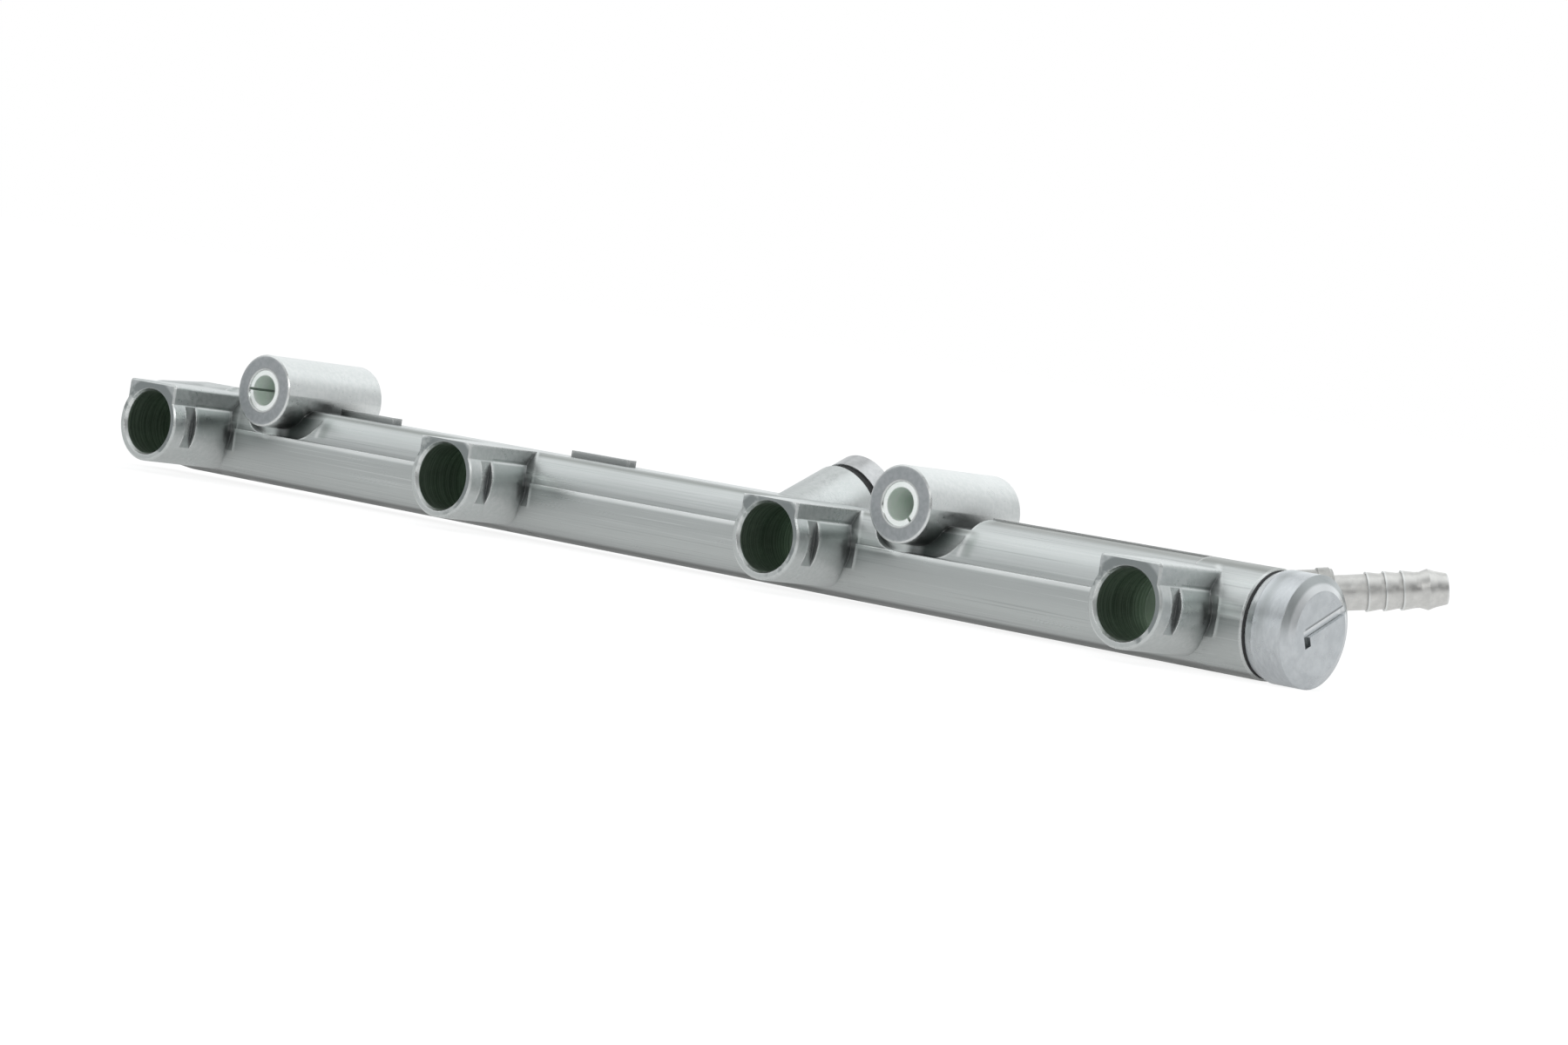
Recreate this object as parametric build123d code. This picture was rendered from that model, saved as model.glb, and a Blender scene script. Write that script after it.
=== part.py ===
"""Fuel rail for a four-cylinder engine, in millimetres.

X runs along the rail from injector cup 1 to cup 4 and the slotted end plug, the injector
cups open towards -Y, and Z points up. The gallery tube lies behind the cups, at the height
of their axes. The pieces are modelled about the centre of cup 1's mouth. They are then
moved, so that the origin is on the axis of the left bolt hole, at its sleeve's front end.
"""

import os
from math import cos, radians, sin

from build123d import *

# Gallery tube, cast a little wider towards the end plug, with a tapered nose on the left
rail_left_d = 19.4
rail_right_d = 21.4
rail_nose_d = 16.8
rail_nose_length = 14.0
gallery_d = 11.5
rail_overhang_left = 24.0
rail_overhang_right = 16.0
rail_end_chamfer = 0.3

# Injector cups
cup_count = 4
cup_pitch = 88.0
cup_length = 26.0
cup_d = 17.0
cup_bore_d = 13.5
cup_bore_depth = 16.0
cup_lead_in = 0.45
cup_lead_in_depth = 0.8
cup_web_width = 14.3
cup_web_top = 8.7
cup_web_corner = 0.8
cup_rim_chamfer = 0.4
feed_hole_d = 7.0
clip_slot_from_mouth = 3.5
clip_slot_width = 2.9
clip_slot_flats = 14.5
cup_cutter_d = 20.4
cup_cutter_bite = 0.7

# Milled surfaces of the tube and of the two middle cups
top_flat_height = 7.65
front_cut = 0.35
front_cut_height = 1.2

# Mounting bosses and their rolled sleeves
boss_d = 15.4
boss_length = 30.0
boss_from_mouth = 11.85
boss_height = 10.5
boss_from_cup = 21.6
boss_pitch = 177.0
boss_rear_chamfer = 1.6
boss_front_chamfer = 0.3
boss_pocket_width = 21.8
boss_pocket_shift = 1.4
boss_pocket_corner = 6.0
boss_pocket_bite = 2.6
sleeve_d = 8.8
sleeve_bore_d = 6.4
sleeve_slit = 0.5
sleeve_recess = 0.25
sleeve_fit_gap = 0.02
slit_angle_left = 180.0
slit_angle_right = -45.0

# Narrow pads left standing on the milled top
pad_length = 15.9
pad_width = 2.4
pad_height = 1.4
pad_from_boss = 10.1
pad_from_cup = 11.3

# Slotted end plug
plug_head_d = 21.6
plug_head_length = 10.05
plug_front_bevel = 1.5
plug_front_bevel_depth = 2.8
plug_rear_bevel = 2.0
plug_rear_bevel_depth = 0.7
plug_thread_d = 16.0
plug_thread_length = 4.6
plug_bore_gap = 0.05
plug_slot_width = 1.8
plug_slot_depth = 0.9
plug_slot_angle = 26.0
plug_slot_offset = 1.4
plug_slot_start = 5.0
plug_slot_foot = 2.6
seal_thickness = 0.4
seal_d = 20.6

# Core plug in the left end
left_plug_d = 14.0
left_plug_length = 4.0
left_plug_dish = 10.0
left_plug_dish_depth = 2.5

# Capped port on the back
port_before_cup = 15.0
port_tilt = 26.0
port_d = 17.0
port_reach = 17.2
port_edge_chamfer = 0.6
port_thread_d = 10.0
port_thread_depth = 9.0
port_plug_clearance = 1.0
port_hole_d = 4.5
port_seal_d = 15.4
port_seal_thickness = 1.5
port_plug_d = 16.2
port_plug_head = 6.1
port_plug_chamfer = 1.3
port_plug_slot_width = 1.5
port_plug_slot_depth = 1.6
thread_gap = 0.05

# Angled hose fitting behind the right end
inlet_past_cup = 6.4
inlet_tilt = 15.5
inlet_boss_d = 12.4
inlet_boss_reach = 13.6
inlet_thread_d = 8.5
inlet_thread_length = 6.5
inlet_hole_d = 3.6
inlet_seal_d = 11.0
inlet_seal_thickness = 0.8
elbow_turn = 45.0
elbow_corner_reach = 21.0
elbow_d = 9.4
elbow_foot_d = 11.0
elbow_foot_length = 2.2
elbow_collar_d = 10.0
elbow_collar_start = 3.0
elbow_collar_length = 3.4
elbow_collar_chamfer = 0.6
nipple_d = 6.9
nipple_bore_d = 4.2
nipple_socket_depth = 4.0
nipple_length = 28.4
barb_d = 7.7
barb_length = 2.6
barb_places = (12.8, 16.2, 19.6)
tip_bulge_d = 7.9
tip_bulge_at = 24.7
tip_bulge_length = 3.0
tip_d = 6.0
nipple_fit_gap = 0.02

# Worked out from the sizes above
rail_axis_y = cup_length
cup_r = cup_d / 2
rail_left = -rail_overhang_left
rail_nose_end = rail_left + rail_nose_length
last_cup_x = (cup_count - 1) * cup_pitch
rail_right = last_cup_x + rail_overhang_right
rail_length = rail_right - rail_left
cup_xs = [n * cup_pitch for n in range(cup_count)]
port_x = cup_xs[2] - port_before_cup
inlet_x = last_cup_x + inlet_past_cup
boss_xs = [boss_from_cup, boss_from_cup + boss_pitch]
pad_xs = [boss_xs[0] + pad_from_boss, cup_xs[1] + pad_from_cup]
boss_front_y = boss_from_mouth
sleeve_front_y = boss_front_y + sleeve_recess
sleeve_length = boss_length - 2 * sleeve_recess


def across_x(x, y=rail_axis_y, z=0.0):
    """Plane whose normal points along +X, with its own Y axis up."""
    return Plane(origin=(x, y, z), x_dir=(0, 1, 0), z_dir=(1, 0, 0))


def across_y(x, y, z=0.0):
    """Plane whose normal points along +Y, with its own Y axis down."""
    return Plane(origin=(x, y, z), x_dir=(1, 0, 0), z_dir=(0, 1, 0))


def across_port(x, tilt, reach):
    """Plane across a rear port, at a distance from the gallery axis along the port."""
    normal = Vector(0, cos(radians(tilt)), sin(radians(tilt)))
    origin = Vector(x, rail_axis_y, 0) + normal * reach
    return Plane(origin=origin, x_dir=(1, 0, 0), z_dir=normal)


def rod(plane, diameter, length):
    """Cylinder that starts on a plane and runs along its normal."""
    return extrude(plane * Circle(diameter / 2), length)


def block(x0, x1, y0, y1, z0, z1):
    """Box between two corners."""
    middle = Pos((x0 + x1) / 2, (y0 + y1) / 2, (z0 + z1) / 2)
    return middle * Box(x1 - x0, y1 - y0, z1 - z0)


def turned(plane, outline):
    """Solid turned about a plane's normal, from points (place along it, radius)."""
    points = [(radius, 0, place) for place, radius in outline]
    return plane * revolve(make_face(Polyline(*points, close=True)), Axis.Z)


def rail_r_at(x):
    """Radius of the tube at a place along it, right of its nose."""
    share = (x - rail_nose_end) / (rail_right - rail_nose_end)
    return (rail_left_d + share * (rail_right_d - rail_left_d)) / 2


def rail_front_y(x):
    """Place of the tube's front, at the height of its axis."""
    return rail_axis_y - rail_r_at(x)


def tapered(x0, r0, x1, r1):
    """Solid cone about the tube's axis, from one place and radius to another."""
    return turned(across_x(x0), [(0, 0), (0, r0), (x1 - x0, r1), (x1 - x0, 0)])


def gallery_tube():
    """Round tube with its skimmed upper front, pockets and recesses around the cups."""
    tube = tapered(rail_left, rail_nose_d / 2, rail_nose_end, rail_left_d / 2)
    tube += tapered(rail_nose_end, rail_left_d / 2, rail_right, rail_right_d / 2)
    rings = tube.edges().filter_by(GeomType.CIRCLE).group_by(Axis.X)
    tube = chamfer(rings[0] + rings[-1], rail_end_chamfer)
    left_r = rail_r_at(0)
    right_r = rail_r_at(last_cup_x)
    skin = tapered(0, left_r + front_cut, last_cup_x, right_r + front_cut)
    skin -= tapered(0, left_r - front_cut, last_cup_x, right_r - front_cut)
    tube -= skin & block(0, last_cup_x, 0, rail_axis_y, front_cut_height, rail_right_d)
    for x in boss_xs:
        tube -= boss_pocket(x)
    for x in cup_xs:
        tube -= rod(across_y(x, 0), cup_cutter_d, rail_front_y(x) + cup_cutter_bite)
    return tube


def top_flat():
    """Flat milled over the tube and the middle cups, as far as the pockets reach."""
    x0 = boss_xs[0] + boss_pocket_shift - boss_pocket_width / 2
    x1 = boss_xs[-1] + boss_pocket_shift + boss_pocket_width / 2
    return block(x0, x1, 0, rail_axis_y + rail_right_d, top_flat_height, rail_right_d)


def boss_pocket(x):
    """Milled clearance on the tube around a mounting boss, a little wider on its right."""
    height = rail_right_d - front_cut_height
    middle = across_y(x + boss_pocket_shift, 0, front_cut_height + height)
    outline = middle * RectangleRounded(boss_pocket_width, 2 * height, boss_pocket_corner)
    return extrude(outline, rail_front_y(x) + boss_pocket_bite)


def cup_outer(x):
    """Injector cup: a round neck with a flat-topped web, from its mouth to the gallery."""
    neck = rod(across_y(x, 0), cup_d, cup_length)
    half = cup_web_width / 2
    web = block(x - half, x + half, 0, cup_length, 0, cup_web_top)
    web = fillet(web.edges().filter_by(Axis.Y).group_by(Axis.Z)[-1], cup_web_corner)
    cup = neck + web
    return chamfer(cup.edges().group_by(Axis.Y)[0], cup_rim_chamfer)


def cup_cuts(x):
    """Bore, lead-in, feed hole and clip slots of one injector cup."""
    bore_r = cup_bore_d / 2
    cuts = turned(
        across_y(x, 0),
        [
            (0, 0),
            (0, bore_r + cup_lead_in),
            (cup_lead_in_depth, bore_r),
            (cup_bore_depth, bore_r),
            (cup_bore_depth, feed_hole_d / 2),
            (cup_length, feed_hole_d / 2),
            (cup_length, 0),
        ],
    )
    slot_y0 = clip_slot_from_mouth
    slot_y1 = slot_y0 + clip_slot_width
    for side in (-1, 1):
        x0, x1 = sorted((x + side * clip_slot_flats / 2, x + side * cup_d))
        cuts += block(x0, x1, slot_y0, slot_y1, -cup_r, cup_r)
    return cuts


def boss_outer(x):
    """Mounting boss, parallel to the cups, with a bevelled rear end."""
    front = across_y(x, boss_front_y, boss_height)
    boss = rod(front, boss_d, boss_length)
    rings = boss.edges().filter_by(GeomType.CIRCLE).sort_by(Axis.Y)
    boss = chamfer(rings[-1], boss_rear_chamfer)
    rings = boss.edges().filter_by(GeomType.CIRCLE).sort_by(Axis.Y)
    return chamfer(rings[0], boss_front_chamfer)


def pad(x):
    """Small raised pad on the milled top, behind the crest of the tube."""
    top = top_flat_height + pad_height
    return block(x, x + pad_length, rail_axis_y, rail_axis_y + pad_width, 0, top)


def rail_body():
    """The rail in one piece: tube, cups, bosses, pads and rear port bosses."""
    body = gallery_tube()
    for x in cup_xs:
        body += cup_outer(x)
    body -= top_flat()
    for x in boss_xs:
        body += boss_outer(x)
    for x in pad_xs:
        body += pad(x)
    port = rod(across_port(port_x, port_tilt, 0), port_d, port_reach)
    body += chamfer(port.edges().filter_by(GeomType.CIRCLE).sort_by(Axis.Y)[-1], port_edge_chamfer)
    body += rod(across_port(inlet_x, inlet_tilt, 0), inlet_boss_d, inlet_boss_reach)

    body -= rod(across_x(rail_left), gallery_d, rail_length)
    body -= rod(across_x(rail_left), left_plug_d, left_plug_length)
    spigot_start = rail_right - plug_thread_length - plug_bore_gap
    spigot_d = plug_thread_d + 2 * plug_bore_gap
    body -= rod(across_x(spigot_start), spigot_d, plug_thread_length + plug_bore_gap)
    for x in cup_xs:
        body -= cup_cuts(x)
    for x in boss_xs:
        hole_d = sleeve_d + 2 * sleeve_fit_gap
        body -= rod(across_y(x, boss_front_y, boss_height), hole_d, boss_length)
    body -= rod(across_port(port_x, port_tilt, 0), port_hole_d, port_reach)
    body -= threaded_socket(across_port(port_x, port_tilt, port_reach), port_thread_d, port_thread_depth)
    body -= rod(across_port(inlet_x, inlet_tilt, 0), inlet_hole_d, inlet_boss_reach)
    socket_plane = across_port(inlet_x, inlet_tilt, inlet_boss_reach)
    body -= threaded_socket(socket_plane, inlet_thread_d, inlet_thread_length)
    return body


def threaded_socket(face, thread_d, depth):
    """Socket sunk into a boss below its face, a little wider than the thread in it."""
    return extrude(face * Circle(thread_d / 2 + thread_gap), -depth)


def end_plug():
    """Slotted screw plug: a bevelled round head and a threaded spigot."""
    head_r = plug_head_d / 2
    start = seal_thickness
    end = seal_thickness + plug_head_length
    outline = [
        (-plug_thread_length, 0),
        (-plug_thread_length, plug_thread_d / 2),
        (start, plug_thread_d / 2),
        (start, head_r - plug_rear_bevel_depth),
        (start + plug_rear_bevel, head_r),
        (end - plug_front_bevel, head_r),
        (end, head_r - plug_front_bevel_depth),
        (end, 0),
    ]
    plug = turned(across_x(rail_right), outline)
    face = across_x(rail_right + end)
    slot_run = plug_slot_start + plug_head_d
    slot = Pos(slot_run / 2 - plug_slot_start, 0) * Rectangle(slot_run, plug_slot_width)
    foot = Pos(plug_slot_width / 2 - plug_slot_start, -plug_slot_foot / 2)
    slot += foot * Rectangle(plug_slot_width, plug_slot_foot)
    place = face * Rot(0, 0, plug_slot_angle) * Pos(0, plug_slot_offset)
    return plug - extrude(place * slot, -plug_slot_depth)


def end_plug_seal():
    """Flat seal between the plug's head and the end of the rail."""
    ring = rod(across_x(rail_right), seal_d, seal_thickness)
    return ring - rod(across_x(rail_right), plug_thread_d + 2 * plug_bore_gap, seal_thickness)


def left_plug():
    """Dished core plug pressed into the left end of the gallery."""
    plug = rod(across_x(rail_left), left_plug_d - 2 * sleeve_fit_gap, left_plug_length)
    return plug - rod(across_x(rail_left), left_plug_dish, left_plug_dish_depth)


def mount_sleeve(x, slit_angle):
    """Rolled sleeve with a slit along its length, pressed into a mounting boss."""
    start = across_y(x, sleeve_front_y, boss_height)
    ring = Circle(sleeve_d / 2) - Circle(sleeve_bore_d / 2)
    slit = Pos(sleeve_d / 2, 0) * Rectangle(sleeve_d, sleeve_slit)
    return extrude(start * Rot(0, 0, -slit_angle) * (ring - slit), sleeve_length)


def port_plug():
    """Round-headed screw plug in the inclined rear port."""
    seat = across_port(port_x, port_tilt, port_reach)
    tip = port_plug_clearance - port_thread_depth
    outline = [
        (tip, 0),
        (tip, port_thread_d / 2),
        (port_seal_thickness, port_thread_d / 2),
        (port_seal_thickness, port_plug_d / 2),
        (port_seal_thickness + port_plug_head, port_plug_d / 2),
        (port_seal_thickness + port_plug_head, 0),
    ]
    plug = turned(seat, outline)
    crown = plug.edges().filter_by(GeomType.CIRCLE).sort_by(Axis.Y)[-1]
    plug = chamfer(crown, port_plug_chamfer)
    top = across_port(port_x, port_tilt, port_reach + port_seal_thickness + port_plug_head)
    return plug - extrude(top * Rectangle(port_plug_d, port_plug_slot_width), -port_plug_slot_depth)


def port_plug_seal():
    """Sealing ring between the port and its plug."""
    seat = across_port(port_x, port_tilt, port_reach)
    hole_d = port_thread_d + 2 * thread_gap
    return rod(seat, port_seal_d, port_seal_thickness) - rod(seat, hole_d, port_seal_thickness)


def outlet_plane(distance):
    """Plane across the hose side of the elbow, at a distance from its corner."""
    stem = across_port(inlet_x, inlet_tilt, elbow_corner_reach)
    turn = radians(elbow_turn)
    direction = stem.z_dir * cos(turn) + stem.x_dir * sin(turn)
    return Plane(origin=stem.origin + direction * distance, x_dir=stem.y_dir, z_dir=direction)


def inlet_elbow():
    """Body of the hose fitting: threaded stem, foot, corner and collar."""
    seat = across_port(inlet_x, inlet_tilt, inlet_boss_reach + inlet_seal_thickness)
    stem_reach = inlet_thread_length + inlet_seal_thickness - thread_gap
    foot = rod(seat, elbow_foot_d, elbow_foot_length)
    rise = elbow_corner_reach - inlet_boss_reach - inlet_seal_thickness
    body = foot + rod(seat, elbow_d, rise)
    body += extrude(seat * Circle(inlet_thread_d / 2), -stem_reach)
    body += Pos(outlet_plane(0).origin) * Sphere(elbow_d / 2)
    body += rod(outlet_plane(0), elbow_d, elbow_collar_start + elbow_collar_length)
    collar = rod(outlet_plane(elbow_collar_start), elbow_collar_d, elbow_collar_length)
    body += chamfer(collar.edges().filter_by(GeomType.CIRCLE), elbow_collar_chamfer)
    body -= rod(outlet_plane(0), nipple_bore_d, elbow_collar_start + elbow_collar_length)
    body -= extrude(seat * Circle(inlet_hole_d / 2), -stem_reach)
    body -= rod(seat, inlet_hole_d, rise)
    return body - nipple_socket()


def nipple_socket():
    """Socket for the nipple in the elbow's collar."""
    mouth = outlet_plane(elbow_collar_start + elbow_collar_length)
    return extrude(mouth * Circle(nipple_d / 2 + nipple_fit_gap), -nipple_socket_depth)


def inlet_seal():
    """Sealing washer between the elbow and its boss."""
    seat = across_port(inlet_x, inlet_tilt, inlet_boss_reach)
    hole_d = inlet_thread_d + 2 * thread_gap
    return rod(seat, inlet_seal_d, inlet_seal_thickness) - rod(seat, hole_d, inlet_seal_thickness)


def hose_nipple():
    """Barbed nipple set into the elbow, with a rounded bulge at its tip."""
    start = elbow_collar_start + elbow_collar_length - nipple_socket_depth
    body_r = nipple_d / 2
    outline = [(start, nipple_bore_d / 2), (start, body_r)]
    for place in barb_places:
        outline += [(place, body_r), (place, barb_d / 2), (place + barb_length, body_r)]
    bulge_half = tip_bulge_length / 2
    outline += [
        (tip_bulge_at - bulge_half, body_r),
        (tip_bulge_at, tip_bulge_d / 2),
        (tip_bulge_at + bulge_half, body_r),
        (nipple_length, tip_d / 2),
        (nipple_length, nipple_bore_d / 2),
    ]
    return turned(outlet_plane(0), outline)


pieces = {
    "rail_body": rail_body(),
    "end_plug": end_plug(),
    "end_plug_seal": end_plug_seal(),
    "left_plug": left_plug(),
    "mount_sleeve_left": mount_sleeve(boss_xs[0], slit_angle_left),
    "mount_sleeve_right": mount_sleeve(boss_xs[1], slit_angle_right),
    "port_plug": port_plug(),
    "port_plug_seal": port_plug_seal(),
    "inlet_elbow": inlet_elbow(),
    "inlet_seal": inlet_seal(),
    "hose_nipple": hose_nipple(),
}

to_own_frame = Pos(-boss_xs[0], -sleeve_front_y, -boss_height)
os.makedirs("parts", exist_ok=True)
for name, solid in pieces.items():
    export_step(to_own_frame * solid, f"parts/{name}.step")
    print(name, round(solid.volume, 1))
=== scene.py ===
"""Looks of the fuel rail: its metals and seals, the floor, the light and the camera."""

import bpy
from mathutils import Matrix, Vector


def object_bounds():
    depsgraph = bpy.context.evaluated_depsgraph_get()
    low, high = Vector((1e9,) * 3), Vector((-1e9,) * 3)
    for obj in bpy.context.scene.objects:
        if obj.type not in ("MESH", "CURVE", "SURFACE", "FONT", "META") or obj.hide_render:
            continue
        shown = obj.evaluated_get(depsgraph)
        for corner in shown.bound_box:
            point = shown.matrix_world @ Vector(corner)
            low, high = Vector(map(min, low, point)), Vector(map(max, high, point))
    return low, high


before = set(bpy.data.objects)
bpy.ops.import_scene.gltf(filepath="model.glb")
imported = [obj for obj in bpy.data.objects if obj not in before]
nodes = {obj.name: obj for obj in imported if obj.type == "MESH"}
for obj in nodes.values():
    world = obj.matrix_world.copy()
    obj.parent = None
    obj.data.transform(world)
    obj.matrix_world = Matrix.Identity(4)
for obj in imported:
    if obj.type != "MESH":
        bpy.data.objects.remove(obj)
cad_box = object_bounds()


def rgb(r, g, b):
    return (r, g, b, 1.0)


def even(scale):
    """The same noise scale along all three axes."""
    return (scale, scale, scale)


# Places in the part that the materials follow, in metres
CUP_X = -0.0216
CUP_PITCH = 0.088
CUP_BORE_R = 0.00675
CUP_BORE_END = 0.0039
CUTTER_R = 0.0102
TUBE_Y = 0.0139
TUBE_Z = -0.0105
TUBE_LEFT_X = -0.0316
TUBE_LEFT_R = 0.0097
TUBE_DRAFT = 0.00345
NOSE_TAPER = 0.0929
RIDGE_Z = -0.0093
FLAT_LINE_Z = -0.00335
FLAT_RIGHT_X = 0.1893
BOSS_PITCH = 0.177
BOSS_R = 0.0077
SLEEVE_R = 0.0044
FLOOR_Y = 0.0052
MOUTH_Y = -0.0121
LEAD_IN_END = -0.0113
NECK_START = -0.0055
WEB_JOINT = 0.0046
PLUG_FACE_X = 0.26885
PLUG_FACE_R = 0.008
PLUG_BACK_X = 0.2588
SLOT_RUN = 0.8988
SLOT_RISE = 0.4384
SLOT_TOP = 0.0023
POCKET_EDGE = 0.0123

# Soft limits of masks, in metres or as shares: where the mask is 0, then where it is 1. SIDE
# and R count from the axis of a boss or a cup, HEIGHT from the axis of the tube, DEPTH from
# its surface, and the others as their use says.
FACE_ON = (0.93, 0.985)
SIDE_ON = (0.35, 0.75)
NOT_LEVEL = (0.985, 0.95)
TUBE_SKIN = (0.0005, 0.0002)
TUBE_FRONT = (TUBE_Y - 0.006, TUBE_Y - 0.009)
RIGHT_OF_BOSS = (0.001, 0.003)
BELLY_DEPTH = (0.0017, 0.0009)
CREST_DEPTH = (0.0016, 0.0008)
CREST_FRONT = (TUBE_Y + 0.002, TUBE_Y + 0.001)
LOWER_HEIGHT = (-0.001, -0.0075)
CUT_EDGE_SIDE = (0.003, 0.005)
CUT_EDGE_FRONT = (0.010, 0.008)
CUT_EDGE_HEIGHT = (-0.0045, -0.0025)
WALL_SIDE = (0.004, 0.006)
POCKET_FADE = (0.0145, 0.0085)
NECK_R = (0.0089, 0.0087)
NECK_HEIGHT = (-0.0015, 0.0015)
MOUTH_R = (0.0094, 0.0088)
QUIET_R = (0.0098, 0.0092)
LEFT_STEP_Y = (0.003, 0.004)
LEFT_STEP_Z = (-0.0040, -0.0034)
UNDER_LEFT_X = (0.0, -0.0025)
UNDER_LEFT_R = (0.0108, 0.0098)
UNDER_LEFT_Z = (-0.002, -0.004)
SLEEVE_BORE = (0.0034, 0.0033)
SLOT_END = (-0.0046, -0.0040)

# Noise scales along x, y and z, per metre
DRAWN = (9.0, 2400.0, 2400.0)
BROAD = (6.0, 420.0, 420.0)
SCRATCHES = (14.0, 3300.0, 3300.0)
BORE_RINGS = (60.0, 2600.0, 60.0)
CAST_PATCH = (55.0, 130.0, 130.0)
CAST_GRAIN = even(1100.0)
MOUTH_BREAKS = even(420.0)
TURNED = (1500.0, 500.0, 500.0)
TURNED_PATCH = even(180.0)
ROLLED = (300.0, 900.0, 300.0)
DUST = even(700.0)

# Pairs of colours on the rail, from dull to bright
SKIN = rgb(0.60, 0.64, 0.63), rgb(0.68, 0.71, 0.70)
BARREL = rgb(0.80, 0.83, 0.82), rgb(0.88, 0.90, 0.89)
MILLED = rgb(0.42, 0.45, 0.45), rgb(0.55, 0.575, 0.58)
BOSS_FACE = rgb(0.37, 0.395, 0.405), rgb(0.48, 0.50, 0.515)
# Painted shade on the tube below the ridge, lighter towards the bottom
TUBE_LOWER_SHADE = rgb(0.46, 0.485, 0.48), rgb(0.66, 0.69, 0.68)
# Mouths and lead-ins: painted shade at the upper right, painted highlight at the lower left
MOUTH_SHADE_AND_HIGHLIGHT = rgb(0.25, 0.275, 0.275), rgb(0.58, 0.61, 0.60)
LEAD_IN_SHADE_AND_HIGHLIGHT = rgb(0.55, 0.59, 0.58), rgb(0.96, 0.98, 0.97)
# Painted shade in the cups' bores
BORE_SHADE = rgb(0.29, 0.37, 0.30), rgb(0.52, 0.60, 0.52)

# How strongly a pair of colours covers what is under it
BARREL_COVER = 0.9
LOWER_COVER = 0.85
NECK_COVER = 0.7
MOUTH_COVER = 0.85
BEVEL_COVER = 0.8

# Single colours on the rail
SKIN_STREAK = rgb(0.72, 0.745, 0.74)
SKIN_SHADOW = rgb(0.55, 0.575, 0.57)
DARK_SCRATCH = rgb(0.40, 0.425, 0.42)
LIGHT_SCRATCH = rgb(0.80, 0.825, 0.82)
# Painted shade on the upper necks
NECK_SHADE = rgb(0.37, 0.415, 0.40)
# Painted light at the lower left of the bosses
UNDER_LEFT_LIGHT = rgb(0.90, 0.93, 0.92)

# Paints on the rail, mostly painted shade, highlights and reflections, the bright edges partly
# wear: how strongly each covers, and its colour
SLEEVE_RING = 0.8, rgb(0.12, 0.13, 0.13)
SUNK_FACE_SHADE = 0.85, rgb(0.15, 0.185, 0.17)
BELLY_SHADE = 0.9, rgb(0.22, 0.23, 0.225)
RIDGE_SHADE = 0.3, rgb(0.36, 0.38, 0.375)
RIDGE_HIGHLIGHT = 0.7, rgb(0.86, 0.88, 0.875)
TOP_LINE = 0.7, rgb(0.28, 0.295, 0.28)
CREST_REFLECTION = 0.7, rgb(0.26, 0.27, 0.25)
CUT_EDGE_HIGHLIGHT = 0.85, rgb(0.93, 0.96, 0.95)
POCKET_WALL_HIGHLIGHT = 0.9, rgb(0.95, 0.97, 0.96)
POCKET_FLOOR_SHADE = 0.9, rgb(0.11, 0.14, 0.13)
POCKET_BEHIND_SHADE = 0.5, rgb(0.38, 0.43, 0.40)
POCKET_RIM_HIGHLIGHT = 0.9, rgb(0.95, 0.97, 0.96)
WEB_LINE_HIGHLIGHT = 0.8, rgb(0.86, 0.89, 0.88)
EDGE_WEAR_AND_HIGHLIGHT = 0.75, rgb(0.93, 0.95, 0.94)

# Pairs of colours and paints on the other pieces
PLUG = rgb(0.61, 0.64, 0.66), rgb(0.72, 0.75, 0.77)
# Plug: painted highlight and shade on the bevel, the slot, the upper collar, the upper rear and the
# slot's rim
PLUG_BEVEL_HIGHLIGHT_AND_SHADE = rgb(0.93, 0.95, 0.96), rgb(0.50, 0.53, 0.53)
PLUG_SLOT_SHADE_AND_HIGHLIGHT = rgb(0.32, 0.34, 0.34), rgb(0.93, 0.95, 0.96)
PLUG_COLLAR_SHADE = 0.55, rgb(0.42, 0.45, 0.45)
PLUG_REAR_HIGHLIGHT = 0.8, rgb(0.95, 0.97, 0.98)
PLUG_RIM_SHADE = 0.85, rgb(0.27, 0.285, 0.29)
SLEEVE = rgb(0.90, 0.95, 0.92), rgb(0.97, 0.99, 0.98)
# Painted light in the sleeves' bores
SLEEVE_INSIDE_LIGHT = rgb(0.84, 0.95, 0.86), rgb(0.92, 0.98, 0.93)
RUBBER = rgb(0.035, 0.036, 0.037), rgb(0.08, 0.081, 0.083)
# Bright edges: part wear, part painted highlight
WORN_EDGE_AND_HIGHLIGHT = rgb(0.96, 0.98, 0.97)

# Roughness of the surfaces, from smooth to dull
TUBE_ROUGH = (0.27, 0.39)
CAST_ROUGH = (-0.03, 0.05)
FACE_ROUGH = (0.40, 0.52)
EDGE_ROUGH = 0.2
BORE_ROUGH = 0.5
PLUG_ROUGH = (0.26, 0.36)
SLEEVE_ROUGH = (0.13, 0.20)
PATCH_ROUGH = (-0.02, 0.04)
RUBBER_ROUGH = (0.55, 0.75)

# Surface of the materials
NOISE_ROUGHNESS = 0.55
AO_SAMPLES = 8
BEVEL_SAMPLES = 4
EDGE_AO = (0.93, 0.6)
METAL_BUMP = 0.35
DUST_BUMP = 0.4
FINE_RELIEF = 0.00004
RAIL_RELIEF = 0.00006
DUST_RELIEF = 0.00003
FINE_EDGE = 0.0002
RAIL_EDGE = 0.0003

# Studio
FLOOR_HALF = 30.0
FLOOR_COLOUR = rgb(0.72, 0.72, 0.72)
FLOOR_WHITE = 1.32
FLOOR_WHITE_SHARE = 0.65
FLOOR_GLOSS = 0.44
WORLD_COLOUR = rgb(0.97, 0.99, 1.0)
WORLD_GLOSS = 0.05
WORLD_BASE = 0.38
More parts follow.
